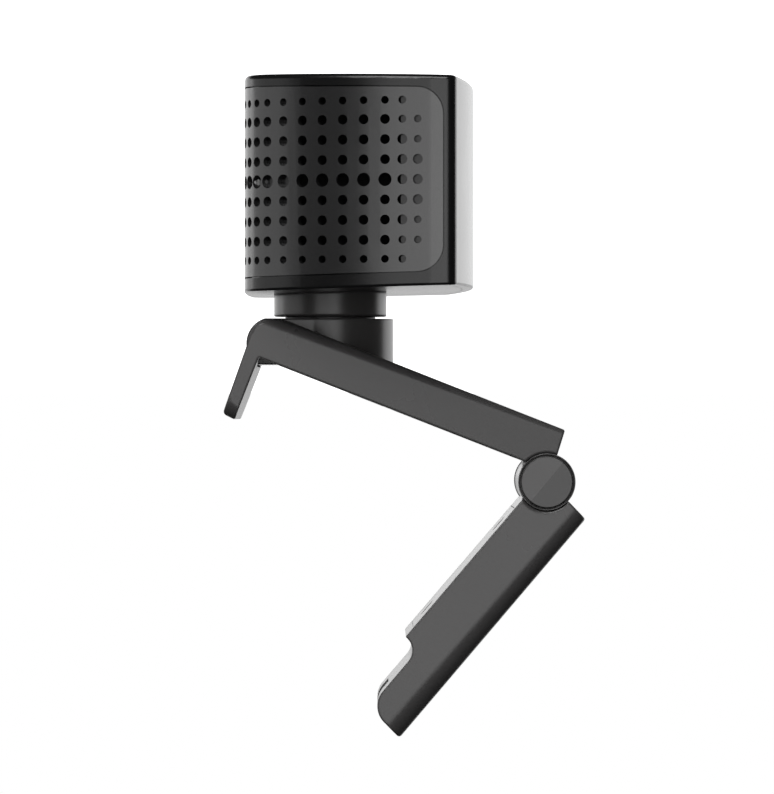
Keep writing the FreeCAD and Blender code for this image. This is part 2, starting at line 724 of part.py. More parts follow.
def retainer_screws():
    """Countersunk screws, flush with the underside of the retainer."""
    screws = []
    for x, y in retainer_screw_places():
        seat = Vector(x, y, RETAINER_BOTTOM_Z)
        head = Part.makeCone(1.65, PILOT_RADIUS, RETAINER_SINK_DEPTH, seat, Vector(0, 0, 1))
        slot = Part.makeCone(0.7, 0.3, 0.5, seat, Vector(0, 0, 1))
        screws.append(fuse_all([head, upright(0.75, 5.6, 9.4, x, y)]).cut(slot))
    return Part.makeCompound(screws)


def swivel_spring_washer():
    ring = upright(RETAINER_RADIUS, SWIVEL_BOTTOM_Z + 0.05, BLOCK_CAVITY_TOP_Z - 0.05)
    return ring.cut(upright(6.8, 6, 7))


def swivel_glide_ring():
    return upright(8.9, COUNTERBORE_Z + 0.05, SPIGOT_BOTTOM_Z - 0.05).cut(upright(6.75, 7, 9))


def block_outline(margin):
    """Plan of the pivot block: a round back and straight cheeks to the nose."""
    half = BLOCK_RADIUS + margin
    nose_half = NOSE_HALF_WIDTH + margin
    blend_x = -math.sqrt(half ** 2 - nose_half ** 2)
    front_x = TILT_X - NOSE_RADIUS - 1
    corners = [Vector(front_x, -nose_half, 0), Vector(blend_x, -nose_half, 0),
               Vector(blend_x, nose_half, 0), Vector(front_x, nose_half, 0)]
    nose = [line(corners[0], corners[1]), arc(corners[1], Vector(half, 0, 0), corners[2]),
            line(corners[2], corners[3]), line(corners[3], corners[0])]
    return Part.Wire(nose)


def nose_grooves():
    """Fine grooves round the nose barrel."""
    grooves = []
    y = -NOSE_HALF_WIDTH + 1.2
    while y < NOSE_HALF_WIDTH - 1.0:
        grooves.append(tube((TILT_X, y - 0.15, TILT_Z), (0, 1, 0), NOSE_RADIUS + 1, NOSE_RADIUS - 0.18, 0.3))
        y += 0.8
    front = box(TILT_X - 8, TILT_X, -20, 20, -5, BLOCK_TOP_Z + 5)
    return [g.common(front) for g in grooves]


def pivot_block():
    """Lower neck: the swivel housing with the tilt hinge in its nose."""
    body = Part.Face(block_outline(0)).extrude(Vector(0, 0, BLOCK_TOP_Z))
    nose = rod((TILT_X, -30, TILT_Z), (0, 1, 0), NOSE_RADIUS, 60)
    behind_nose = box(TILT_X, 30, -30, 30, -1, BLOCK_TOP_Z + 1)
    body = body.common(nose.fuse(behind_nose))
    counterbore = upright(COUNTERBORE_RADIUS, COUNTERBORE_Z, 12)
    journal = upright(SWIVEL_RADIUS + RUNNING_CLEARANCE, 5, 12)
    cavity = upright(BLOCK_CAVITY_RADIUS, -1, BLOCK_CAVITY_TOP_Z)
    plate_recess = base_plate_outline(0.05, 0, BASE_PLATE_THICKNESS + 0.05)
    pin_bore = rod((TILT_X, -30, TILT_Z), (0, 1, 0), TILT_PIN_RADIUS + RUNNING_CLEARANCE, 60)
    screws = [upright(PILOT_RADIUS, 1, 6.4, x, y) for x, y in base_screw_places()]
    body = body.cut([counterbore, journal, cavity, plate_recess, pin_bore] + screws)
    return body.cut(nose_grooves())


def base_plate_outline(grow, z0, z1):
    """Round plate with a flat towards the nose."""
    flat_x = -8.8 - grow
    return upright(BASE_PLATE_RADIUS + grow, z0, z1).common(box(flat_x, 20, -20, 20, z0, z1))


def base_screw_places():
    return ring_places(BASE_SCREW_RING, (-125, -40, 40, 125))


def pivot_base_plate():
    """Underside plate with the boss that holds the thread insert."""
    plate = base_plate_outline(0, 0, BASE_PLATE_THICKNESS)
    boss = upright(5.4, 0, 4.7)
    bore = upright(INSERT_RADIUS, -1, 6)
    sinks = [Part.makeCone(1.3, 0.9, 0.8, Vector(x, y, 0), Vector(0, 0, 1)) for x, y in base_screw_places()]
    holes = [upright(0.9, -1, 3, x, y) for x, y in base_screw_places()]
    return fuse_all([plate, boss]).cut([bore] + sinks + holes)


def base_plate_screws():
    screws = []
    for x, y in base_screw_places():
        head = Part.makeCone(1.25, 0.8, 0.8, Vector(x, y, 0.02), Vector(0, 0, 1))
        slot = Part.makeCone(0.6, 0.3, 0.5, Vector(x, y, 0.02), Vector(0, 0, 1))
        screws.append(fuse_all([head, upright(0.78, 0.7, 6.2, x, y)]).cut(slot))
    return Part.makeCompound(screws)


def thread_insert():
    """Brass insert with the tripod thread, modelled at its wall radius."""
    sleeve = upright(INSERT_RADIUS, 0, THREAD_DEPTH).cut(upright(THREAD_WALL_RADIUS, -1, 6))
    grooves = [upright(4.2, z, z + 0.4).cut(upright(3.7, z - 1, z + 2)) for z in (1.2, 2.9)]
    return sleeve.cut(grooves)


# ---------------------------------------------------------------- limb frames

def limb_point(slope, along, y, out):
    """Point in the frame of a limb that leaves the clamp hinge.

    The slope is the limb's direction, in degrees from -X towards +Z.
    """
    a = math.radians(slope)
    return Vector(HINGE_X - along * math.cos(a) + out * math.sin(a), y,
                  HINGE_Z + along * math.sin(a) + out * math.cos(a))


def arm_point(along, y, out):
    return limb_point(ARM_SLOPE, along, y, out)


def leg_point(along, y, out):
    """The leg's outward side faces away from the arm."""
    a = math.radians(LEG_SLOPE)
    return Vector(HINGE_X - along * math.cos(a) + out * math.sin(a), y,
                  HINGE_Z - along * math.sin(a) - out * math.cos(a))


def limb_prism(place, outline, half_width):
    """Side outline, given as corners or arcs in limb coordinates, run across the width."""
    edges = []
    for entry in outline:
        points = [place(along, -half_width, out) for along, out in entry]
        edges.append(line(*points) if len(points) == 2 else arc(*points))
    return Part.Face(Part.Wire(edges)).extrude(Vector(0, 2 * half_width, 0))


def limb_block(place, a0, a1, y0, y1, o0, o1):
    """Block in limb coordinates."""
    corners = [place(a0, y0, o0), place(a1, y0, o0), place(a1, y0, o1), place(a0, y0, o1)]
    return Part.Face(Part.makePolygon(corners + corners[:1])).extrude(Vector(0, y1 - y0, 0))


def across(place, along, out, radius, y0, y1):
    """Cylinder across the limb, on an axis parallel to Y."""
    return Part.makeCylinder(radius, y1 - y0, place(along, y0, out), Vector(0, 1, 0))


def across_pair(place, along, out, radius, inner_y, outer_y):
    """The same cylinder on both sides of the plane Y = 0."""
    return [across(place, along, out, radius, inner_y, outer_y),
            across(place, along, out, radius, -outer_y, -inner_y)]


def section(place, along, half_width, low, high, radius):
    """Cross-section of a limb, with its two high corners rounded."""
    slant = radius * (1 - math.sqrt(0.5))

    def at(y, out):
        return place(along, y, out)

    shoulder = half_width - radius
    edges = [line(at(-half_width, low), at(half_width, low)),
             line(at(half_width, low), at(half_width, high - radius)),
             arc(at(half_width, high - radius), at(half_width - slant, high - slant), at(shoulder, high)),
             line(at(shoulder, high), at(-shoulder, high)),
             arc(at(-shoulder, high), at(slant - half_width, high - slant), at(-half_width, high - radius)),
             line(at(-half_width, high - radius), at(-half_width, low))]
    return Part.Wire(edges)


def tapered_limb(place, length, widths, low, high, radii):
    """Limb whose width and corner rounding change along its length."""
    start, stop = -8.0, length + 6.0
    rate = (widths[1] - widths[0]) / length
    growth = (radii[1] - radii[0]) / length
    wires = [section(place, a, widths[0] + rate * a, low, high, radii[0] + growth * a)
             for a in (start, stop)]
    return Part.makeLoft(wires, True, True)


# ---------------------------------------------------------------- upper arm

def arm_side():
    """Side outline of the arm and its hook."""
    corner = ARM_LENGTH - ARM_CORNER_RADIUS
    slant = ARM_CORNER_RADIUS * (1 - math.sqrt(0.5))
    hook_inner = ARM_LENGTH - HOOK_THICKNESS
    tip_outer = ARM_LENGTH - 0.5
    inside = 0.15
    return [
        [(-0.25, ARM_UNDERSIDE), (hook_inner - inside, ARM_UNDERSIDE)],
        [(hook_inner - inside, ARM_UNDERSIDE),
         (hook_inner - inside * 0.29, ARM_UNDERSIDE - inside * 0.29),
         (hook_inner, ARM_UNDERSIDE - inside)],
        [(hook_inner, ARM_UNDERSIDE - inside), (hook_inner, HOOK_TIP_OUT + 0.3)],
        [(hook_inner, HOOK_TIP_OUT + 0.3), (hook_inner + 0.1, HOOK_TIP_OUT + 0.1),
         (hook_inner + 0.3, HOOK_TIP_OUT)],
        [(hook_inner + 0.3, HOOK_TIP_OUT), (tip_outer - 0.9, HOOK_TIP_OUT + 0.15)],
        [(tip_outer - 0.9, HOOK_TIP_OUT + 0.15), (tip_outer - 0.26, HOOK_TIP_OUT + 0.4),
         (tip_outer, HOOK_TIP_OUT + 1.0)],
        [(tip_outer, HOOK_TIP_OUT + 1.0), (ARM_LENGTH, ARM_TOP - ARM_CORNER_RADIUS)],
        [(ARM_LENGTH, ARM_TOP - ARM_CORNER_RADIUS), (ARM_LENGTH - slant, ARM_TOP - slant),
         (corner, ARM_TOP)],
        [(corner, ARM_TOP), (0.85, ARM_TOP)],
        [(0.85, ARM_TOP), (0.48, ARM_TOP - 0.13), (0.35, ARM_TOP - 0.5)],
        [(0.35, ARM_TOP - 0.5), (-0.25, ARM_UNDERSIDE)]]


def hook_corners():
    """What is cut away to round both corners of the hook's tip."""
    half_width = ARM_HALF_WIDTH_HOOK - 0.15
    radius = HOOK_CORNER_RADIUS
    centre_y, centre_out = radius - half_width, HOOK_TIP_OUT + radius
    start = arm_point(ARM_LENGTH - 8, centre_y, centre_out)
    direction = arm_point(ARM_LENGTH, centre_y, centre_out) - start
    corner = limb_block(arm_point, ARM_LENGTH - 6, ARM_LENGTH + 4, -30, centre_y,
                        HOOK_TIP_OUT - 1, centre_out)
    return both_sides(corner.cut(Part.makeCylinder(radius, 16, start, direction)))


def tilt_along():
    """Where the tilt axis lies along the arm."""
    a = math.radians(ARM_SLOPE)
    return (HINGE_X - TILT_X) * math.cos(a) + (TILT_Z - HINGE_Z) * math.sin(a)


def tilt_out():
    a = math.radians(ARM_SLOPE)
    return (TILT_X - HINGE_X) * math.sin(a) + (TILT_Z - HINGE_Z) * math.cos(a)


def clip_arm():
    """Upper arm: flared tray with a window for the pivot block and the hook at its front."""
    prism = limb_prism(arm_point, arm_side(), 40)
    form = tapered_limb(arm_point, ARM_LENGTH, (ARM_HALF_WIDTH_HINGE, ARM_HALF_WIDTH_HOOK),
                        -20, ARM_TOP, (0.9, 2.6))
    body = prism.common(form)
    half = ARM_WINDOW_HALF_WIDTH
    seat_radius = NOSE_RADIUS + 0.35
    window = [limb_block(arm_point, ARM_WINDOW_START, tilt_along(), -half, half, -4, 20),
              limb_block(arm_point, tilt_along() - 1, 80, -half, half, tilt_out() - 1.5, 20),
              across(arm_point, tilt_along(), tilt_out(), seat_radius, -half, half)]
    centre_room = across(arm_point, 0, 0, KNUCKLE_RADIUS + 0.5, -KNUCKLE_HALF_WIDTH - KNUCKLE_GAP,
                         KNUCKLE_HALF_WIDTH + KNUCKLE_GAP)
    side_rooms = across_pair(arm_point, 0, 0, CAP_ROOM_RADIUS, CAP_SEAT_Y, 30)
    pockets = [limb_block(arm_point, 9, 31.5, -12, 12, 0, 9.2),
               limb_block(arm_point, 7, 33, -14.2, 14.2, 0, ARM_UNDERSIDE + 1.2)]
    body = body.cut(window + [centre_room, hook_corners()] + side_rooms + pockets)
    inner_y = KNUCKLE_HALF_WIDTH + KNUCKLE_GAP
    knuckles = across_pair(arm_point, 0, 0, KNUCKLE_RADIUS, inner_y, CAP_SEAT_Y)
    body = fuse_all([body] + knuckles)
    pin_hole = across(arm_point, 0, 0, HINGE_PIN_RADIUS, -40, 40)
    cap_holes = across_pair(arm_point, 0, 0, CAP_STEM_RADIUS, CAP_SEAT_Y - CAP_STEM_LENGTH, 30)
    tilt_hole = across(arm_point, tilt_along(), tilt_out(), TILT_PIN_RADIUS, -19.5, 40)
    return body.cut([pin_hole, tilt_hole] + cap_holes)


def arm_seat_pad():
    """Ribbed rubber pad set flush in the underside of the arm."""
    pad = limb_block(arm_point, 7.1, 32.9, -14.1, 14.1, ARM_UNDERSIDE, ARM_UNDERSIDE + 1.2)
    ribs = [limb_block(arm_point, a, a + 0.7, -12.5, 12.5, ARM_UNDERSIDE - 1, ARM_UNDERSIDE + 0.3)
            for a in (9.5 + 2.1 * k for k in range(11))]
    return pad.cut(ribs)


def tilt_pin():
    return across(arm_point, tilt_along(), tilt_out(), TILT_PIN_RADIUS, -19.5, 21.5)


def tilt_washers():
    """Friction washers between the nose and the cheeks."""
    start = NOSE_HALF_WIDTH + 0.1
    ring = across(arm_point, tilt_along(), tilt_out(), 3.4, -start - 0.55, -start)
    hole = across(arm_point, tilt_along(), tilt_out(), TILT_PIN_RADIUS, -20, 0)
    return both_sides(ring.cut(hole))


def hinge_pin():
    half_length = CAP_SEAT_Y - CAP_STEM_LENGTH
    return across(arm_point, 0, 0, HINGE_PIN_RADIUS, -half_length, half_length)


def hinge_cap():
    """Cap on the -Y end of the clamp hinge: a rim, a V-shaped groove and a two-facet face."""
    disc = across(arm_point, 0, 0, CAP_RADIUS, -CAP_FACE_Y, -CAP_SEAT_Y - 0.02)
    front = -CAP_FACE_Y
    rim_edge = [e for e in disc.Edges if abs(e.BoundBox.YMax - front) < 1e-4 and e.BoundBox.YLength < 1e-3]
    disc = disc.makeFillet(0.12, rim_edge)
    groove_inner, groove_outer = CAP_GROOVE_RADII
    groove_middle = (groove_inner + groove_outer) / 2
    mouth = arm_point(0, front, 0)
    groove = Part.makeCone(groove_outer, groove_middle, CAP_GROOVE_DEPTH, mouth, Vector(0, 1, 0))
    groove = groove.cut(Part.makeCone(groove_inner, groove_middle, CAP_GROOVE_DEPTH, mouth, Vector(0, 1, 0)))
    facets = []
    for side in (1, -1):
        wedge = box(-12, 12, -3, 0, min(0, 12 * side), max(0, 12 * side))
        wedge.rotate(Vector(0, 0, 0), Vector(1, 0, 0), -side * CAP_FACET_TILT)
        wedge.rotate(Vector(0, 0, 0), Vector(0, 1, 0), -CAP_FACET_ANGLE)
        wedge.translate(Vector(HINGE_X, front, HINGE_Z))
        facets.append(wedge.common(across(arm_point, 0, 0, groove_inner + 0.01, front - 5, front + 3)))
    stem = across(arm_point, 0, 0, CAP_STEM_RADIUS, -CAP_SEAT_Y - 0.1, CAP_STEM_LENGTH - CAP_SEAT_Y)
    return fuse_all([disc, stem]).cut([groove] + facets)


def hinge_washers():
    """Spring washers on both sides of the leg's knuckle."""
    start = KNUCKLE_HALF_WIDTH + 0.05
    ring = across(arm_point, 0, 0, 4.4, -start - 0.32, -start)
    return both_sides(ring.cut(across(arm_point, 0, 0, HINGE_PIN_RADIUS, -20, 0)))


# ---------------------------------------------------------------- lower leg

def leg_side():
    """Side outline of the leg: inner face, notch, rounded foot and flat back."""
    k = 1 - math.sqrt(0.5)
    notch_radius = FOOT_START - NOTCH_START
    notch_low = FOOT_INNER - notch_radius
    corner = notch_low - LEG_INNER
    foot_bend = LEG_LENGTH - LEG_END_SLANT - FOOT_RADIUS
    end_inner = FOOT_INNER + FOOT_RADIUS
    return [
        [(LEG_START_INNER, LEG_INNER), (NOTCH_START - corner, LEG_INNER)],
        [(NOTCH_START - corner, LEG_INNER), (NOTCH_START - corner * k, LEG_INNER + corner * k),
         (NOTCH_START, notch_low)],
        [(NOTCH_START, notch_low), (NOTCH_START + notch_radius * k, FOOT_INNER - notch_radius * k),
         (FOOT_START, FOOT_INNER)],
        [(FOOT_START, FOOT_INNER), (foot_bend, FOOT_INNER)],
        [(foot_bend, FOOT_INNER), (foot_bend + FOOT_RADIUS * (1 - k), FOOT_INNER + FOOT_RADIUS * k),
         (foot_bend + FOOT_RADIUS, end_inner)],
        [(foot_bend + FOOT_RADIUS, end_inner), (LEG_LENGTH, LEG_OUTER - 0.7)],
        [(LEG_LENGTH, LEG_OUTER - 0.7), (LEG_LENGTH - 0.2, LEG_OUTER - 0.2),
         (LEG_LENGTH - 0.7, LEG_OUTER)],
        [(LEG_LENGTH - 0.7, LEG_OUTER), (LEG_START_OUTER + 0.6, LEG_OUTER)],
        [(LEG_START_OUTER + 0.6, LEG_OUTER), (LEG_START_OUTER + 0.18, LEG_OUTER - 0.18),
         (LEG_START_OUTER, LEG_OUTER - 0.6)],
        [(LEG_START_OUTER, LEG_OUTER - 0.6), (LEG_START_INNER, LEG_INNER)]]


def leg_shell():
    """Lower leg with its centre knuckle."""
    prism = limb_prism(leg_point, leg_side(), 40)
    form = tapered_limb(leg_point, LEG_LENGTH, (LEG_HALF_WIDTH_HINGE, LEG_HALF_WIDTH_FOOT),
                        -20, LEG_OUTER, (3.4, 4.0))
    body = prism.common(form)
    inner_y = KNUCKLE_HALF_WIDTH
    rooms = across_pair(leg_point, 0, 0, CAP_ROOM_RADIUS, inner_y, 40)
    flare = Part.makeCone(CAP_ROOM_RADIUS, CAP_ROOM_RADIUS + CAP_ROOM_FLARE, CAP_ROOM_FLARE,
                          leg_point(0, -LEG_HALF_WIDTH_HINGE, 0), Vector(0, -1, 0))
    rooms += [flare, mirrored(flare)]
    pockets = [limb_block(leg_point, 10, 37, -12.5, 12.5, -5, 8.0),
               limb_block(leg_point, 8, 39, -14.2, 14.2, -5, LEG_INNER + 1.4)]
    finger_notch = limb_block(leg_point, FINGER_NOTCH_START, LEG_LENGTH - 1.0, -FINGER_NOTCH_HALF_WIDTH,
                              FINGER_NOTCH_HALF_WIDTH, -5, FOOT_INNER + FINGER_NOTCH_DEPTH)
    knuckle = across(leg_point, 0, 0, KNUCKLE_RADIUS, -KNUCKLE_HALF_WIDTH, KNUCKLE_HALF_WIDTH)
    body = fuse_all([body.cut(rooms), knuckle])
    bosses = [leg_cylinder(y, a, 2.1, LEG_INNER + 1.4, 8.5) for a, y in leg_screw_places()]
    body = fuse_all([body.cut(pockets + [finger_notch])] + bosses)
    shanks = [leg_cylinder(y, a, 0.85, LEG_INNER, 6.0) for a, y in leg_screw_places()]
    pin_hole = across(leg_point, 0, 0, HINGE_PIN_RADIUS + RUNNING_CLEARANCE, -40, 40)
    return body.cut(shanks + [pin_hole])


def leg_screw_places():
    return [(12.5, 0.0), (34.5, 0.0)]


def leg_cylinder(y, along, radius, out0, out1):
    """Cylinder square to the leg's inner face."""
    start, stop = leg_point(along, y, out0), leg_point(along, y, out1)
    return Part.makeCylinder(radius, (stop - start).Length, start, stop - start)


def leg_inner_cover():
    """Cover flush with the leg's inner face."""
    cover = limb_block(leg_point, 8.12, 38.88, -14.08, 14.08, LEG_INNER, LEG_INNER + 1.38)
    sinks = [leg_cylinder(y, a, 1.8, LEG_INNER - 1, LEG_INNER + 0.8) for a, y in leg_screw_places()]
    holes = [leg_cylinder(y, a, 0.9, LEG_INNER - 1, LEG_INNER + 3) for a, y in leg_screw_places()]
    return cover.cut(sinks + holes)


def leg_screws():
    """Screws sunk in the inner cover."""
    screws = []
    for along, y in leg_screw_places():
        head = leg_cylinder(y, along, 1.65, LEG_INNER + 0.1, LEG_INNER + 0.8)
        shank = leg_cylinder(y, along, 0.8, LEG_INNER + 0.8, 5.6)
        recess = leg_cylinder(y, along, 0.7, LEG_INNER, LEG_INNER + 0.5)
        screws.append(fuse_all([head, shank]).cut(recess))
    return Part.makeCompound(screws)


# ---------------------------------------------------------------- assembly

def build():
    """Every sub-part by its node name."""
    envelope = head_envelope()
    nodes = {
        "front_housing": front_housing(envelope),
        "wrap_grille": wrap_grille(envelope),
        "acoustic_mesh_left": acoustic_mesh(),
        "acoustic_mesh_right": mirrored(acoustic_mesh()),
        "rear_cover": rear_cover(envelope),
        "lens_bezel": lens_bezel(),
        "lens_window": lens_window(),
        "lens_barrel": lens_barrel(),
        "lens_front_element": lens_element(HEAD_FRONT_X + 5.2, 4.35, 2.6, 9.0),
        "lens_rear_element": lens_element(HEAD_FRONT_X + 10.0, 4.35, 2.0, 14.0),
        "lens_holder": lens_holder(),
        "ir_filter": ir_filter(),
        "image_sensor": image_sensor(),
        "sensor_board": sensor_board(),
        "sensor_board_screws": sensor_board_screws(),
        "main_board": main_board(),
        "main_board_screws": main_board_screws(),
        "ribbon_cable": ribbon_cable(),
        "heat_spreader": heat_spreader(),
        "usb_inlet": usb_inlet(),
        "usb_tongue": usb_tongue(),
        "microphones": microphones(),
        "status_led": status_led(),
        "status_light_pipe": status_light_pipe(),
        "neck_collar": neck_collar(),
        "collar_screws": collar_screws(),
        "swivel_retainer": swivel_retainer(),
        "retainer_screws": retainer_screws(),
        "swivel_spring_washer": swivel_spring_washer(),
        "swivel_glide_ring": swivel_glide_ring(),
        "pivot_block": pivot_block(),
        "pivot_base_plate": pivot_base_plate(),
        "base_plate_screws": base_plate_screws(),
        "thread_insert": thread_insert(),
        "clip_arm": clip_arm(),
        "arm_seat_pad": arm_seat_pad(),
        "tilt_pin": tilt_pin(),
        "tilt_washers": tilt_washers(),
        "hinge_pin": hinge_pin(),
        "hinge_cap_left": hinge_cap(),
        "hinge_cap_right": mirrored(hinge_cap()),
        "hinge_washers": hinge_washers(),
        "leg_shell": leg_shell(),
        "leg_inner_cover": leg_inner_cover(),
        "leg_screws": leg_screws()}
    for part in ("frame", "magnet", "cone"):
        nodes["speaker_" + part + "_left"] = speaker(part)
        nodes["speaker_" + part + "_right"] = mirrored(speaker(part))
    return nodes


os.makedirs("parts", exist_ok=True)
for name, shape in build().items():
    shape.exportStep("parts/" + name + ".step")
    print(name, "solids", len(shape.Solids), "valid", shape.isValid(), "volume", round(shape.Volume, 1))
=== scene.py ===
"""Bar webcam on a folding monitor clip: looks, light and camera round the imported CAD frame."""

import json
import math

import bpy
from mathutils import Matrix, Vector


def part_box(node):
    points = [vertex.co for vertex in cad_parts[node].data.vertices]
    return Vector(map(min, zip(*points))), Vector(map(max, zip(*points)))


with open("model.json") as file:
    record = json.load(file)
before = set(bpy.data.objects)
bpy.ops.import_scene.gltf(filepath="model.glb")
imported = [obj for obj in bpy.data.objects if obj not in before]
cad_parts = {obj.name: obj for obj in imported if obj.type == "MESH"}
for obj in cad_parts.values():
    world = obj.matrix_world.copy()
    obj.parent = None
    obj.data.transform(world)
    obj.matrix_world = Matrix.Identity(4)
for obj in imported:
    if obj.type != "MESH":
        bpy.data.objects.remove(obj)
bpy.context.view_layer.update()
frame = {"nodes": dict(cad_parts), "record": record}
NODES = frame["nodes"]

# ---------------------------------------------------------------- camera

IMAGE_LONG_SIDE = 794
FOCAL_PIXELS = 5400
SENSOR_WIDTH = 36.0
CAMERA_DISTANCE = 1.08
CAMERA_X = 0.01014
CAMERA_Z = -0.0104
SHIFT_RIGHT = 6 / IMAGE_LONG_SIDE
SHIFT_UP = 20 / IMAGE_LONG_SIDE


def make_camera():
    """Level side view from -Y with a long lens."""
    data = bpy.data.cameras.new("camera")
    data.sensor_width = SENSOR_WIDTH
    data.lens = FOCAL_PIXELS * SENSOR_WIDTH / IMAGE_LONG_SIDE
    data.shift_x = SHIFT_RIGHT
    data.shift_y = SHIFT_UP
    data.clip_start = 0.05
    data.clip_end = 30.0
    camera = bpy.data.objects.new("camera", data)
    camera.location = (CAMERA_X, -CAMERA_DISTANCE, CAMERA_Z)
    camera.rotation_euler = (math.radians(90), 0, 0)
    bpy.context.collection.objects.link(camera)
    bpy.context.scene.camera = camera


# ---------------------------------------------------------------- materials

WEAR_WIDTH = 0.00025
WEAR_NONE, WEAR_FULL = 0.995, 0.86
WEAR_GLOSS = -0.06
GLOSS_SPREAD = 0.02
GRAIN_DEPTH = 0.00002
SMOOTH_GRAIN_DEPTH = 0.000004
GRAIN_SCALE = 5200
CLIP_EDGE_RADIUS = 0.0007
CAP_EDGE_RADIUS = 0.0002
# Painted shade on the cap: the next three values set the slanted line, its softness and how far the colour
# darkens beyond it.
PAINTED_SHADE_DIRECTION = (0.77, 0.0, -0.64)
PAINTED_SHADE_BLUR = 0.00008
CAP_PAINTED_SHADE = 0.62
THREAD_SCALE = 1400.0
TRACK_SCALE = 420.0


def new_material(name):
    """Node material with its tree and its Principled shader."""
    material = bpy.data.materials.new(name)
    material.use_nodes = True
    tree = material.node_tree
    return material, tree, tree.nodes["Principled BSDF"]


def add_node(tree, kind, **settings):
    """New node with its attributes, or its inputs where the key names one."""
    node = tree.nodes.new(kind)
    for key, value in settings.items():
        if hasattr(node, key):
            setattr(node, key, value)
        else:
            node.inputs[key.replace("_", " ")].default_value = value
    return node


def noise(tree, scale, detail=3.0, stretch=None):
    """Noise in object space, in features per metre."""
    place = tree.nodes.new("ShaderNodeTexCoord")
    texture = add_node(tree, "ShaderNodeTexNoise", Scale=scale, Detail=detail)
    if stretch is None:
        tree.links.new(place.outputs["Object"], texture.inputs["Vector"])
        return texture.outputs["Fac"]
    mapping = tree.nodes.new("ShaderNodeMapping")
    mapping.inputs["Scale"].default_value = stretch
    tree.links.new(place.outputs["Object"], mapping.inputs["Vector"])
    tree.links.new(mapping.outputs["Vector"], texture.inputs["Vector"])
    return texture.outputs["Fac"]


def remap(tree, value, low, high, start=0.3, stop=0.7):
    """Value from start..stop mapped to low..high and held at both ends."""
    node = tree.nodes.new("ShaderNodeMapRange")
    node.inputs["From Min"].default_value = start
    node.inputs["From Max"].default_value = stop
    node.inputs["To Min"].default_value = low
    node.inputs["To Max"].default_value = high
    tree.links.new(value, node.inputs["Value"])
    return node.outputs["Result"]


def mix_colours(tree, factor, first, second):
    """Colour between the first at 0 and the second at 1."""
    node = tree.nodes.new("ShaderNodeMix")
    node.data_type = "RGBA"
    node.inputs[6].default_value = (*first, 1)
    node.inputs[7].default_value = (*second, 1)
    tree.links.new(factor, node.inputs[0])
    return node.outputs[2]


def edge_wear(tree, width):
    """1 on sharp convex edges, 0 on flats, from the angle between true and rounded normals."""
    bevel = add_node(tree, "ShaderNodeBevel", samples=4, Radius=width)
    geometry = tree.nodes.new("ShaderNodeNewGeometry")
    dot = add_node(tree, "ShaderNodeVectorMath", operation="DOT_PRODUCT")
    tree.links.new(bevel.outputs["Normal"], dot.inputs[0])
    tree.links.new(geometry.outputs["Normal"], dot.inputs[1])
    return remap(tree, dot.outputs["Value"], 1.0, 0.0, WEAR_FULL, WEAR_NONE)



def painted_shade_split(tree, tone, centre, shade):
    """Painted shade: colour darker below and behind a slanted line through the centre, on faces seen from
    the side, standing in for a split in the light.
    """
    place = tree.nodes.new("ShaderNodeTexCoord")
    offset = add_node(tree, "ShaderNodeVectorMath", operation="SUBTRACT")
    offset.inputs[1].default_value = centre
    tree.links.new(place.outputs["Object"], offset.inputs[0])
    across = add_node(tree, "ShaderNodeVectorMath", operation="DOT_PRODUCT")
    across.inputs[1].default_value = PAINTED_SHADE_DIRECTION
    tree.links.new(offset.outputs["Vector"], across.inputs[0])
    factor = remap(tree, across.outputs["Value"], 1.0, shade, -PAINTED_SHADE_BLUR, PAINTED_SHADE_BLUR)
    shaded = add_node(tree, "ShaderNodeVectorMath", operation="SCALE")
    tree.links.new(tone, shaded.inputs[0])
    tree.links.new(factor, shaded.inputs["Scale"])
    return shaded.outputs["Vector"]


def moulded_plastic(name, colour, roughness, grain=GRAIN_DEPTH, specular=0.5, rounding=None, centre=None):
    """Injection-moulded plastic: fine spark texture, faint tone and gloss variation.

    Its sharp edges are rubbed, or shaded as if moulded to a radius where rounding gives one.
    A centre splits it into a plain half and a half darkened with painted shade.
    """
    material, tree, shader = new_material(name)
    clouds = noise(tree, 90, 4)
    light = tuple(min(1.0, c * 1.12 + 0.0005) for c in colour)
    dark = tuple(c * 0.9 for c in colour)
    tone = mix_colours(tree, clouds, dark, light)
    gloss = remap(tree, noise(tree, 45, 5), roughness - GLOSS_SPREAD, roughness + GLOSS_SPREAD, 0.1, 0.9)
    if rounding is None:
        wear = edge_wear(tree, WEAR_WIDTH)
        rubbed = add_node(tree, "ShaderNodeMix", data_type="RGBA")
        rubbed.inputs[7].default_value = (*(min(1.0, c * 1.5 + 0.002) for c in colour), 1)
        tree.links.new(wear, rubbed.inputs[0])
        tree.links.new(tone, rubbed.inputs[6])
        tone = rubbed.outputs[2]
        polished = add_node(tree, "ShaderNodeMath", operation="MULTIPLY_ADD")
        polished.inputs[1].default_value = WEAR_GLOSS
        tree.links.new(wear, polished.inputs[0])
        tree.links.new(gloss, polished.inputs[2])
        gloss = polished.outputs[0]
    # Painted shade: one side of a slanted line through the centre is darkened.
    if centre is not None:
        tone = painted_shade_split(tree, tone, centre, CAP_PAINTED_SHADE)
    tree.links.new(tone, shader.inputs["Base Color"])
    tree.links.new(gloss, shader.inputs["Roughness"])
    shader.inputs["Specular IOR Level"].default_value = specular
    bump = add_node(tree, "ShaderNodeBump", Strength=0.3, Distance=grain)
    if rounding is not None:
        edge = add_node(tree, "ShaderNodeBevel", samples=16, Radius=rounding)
        tree.links.new(edge.outputs["Normal"], bump.inputs["Normal"])
    tree.links.new(noise(tree, GRAIN_SCALE, 2), bump.inputs["Height"])
    tree.links.new(bump.outputs["Normal"], shader.inputs["Normal"])
    return material


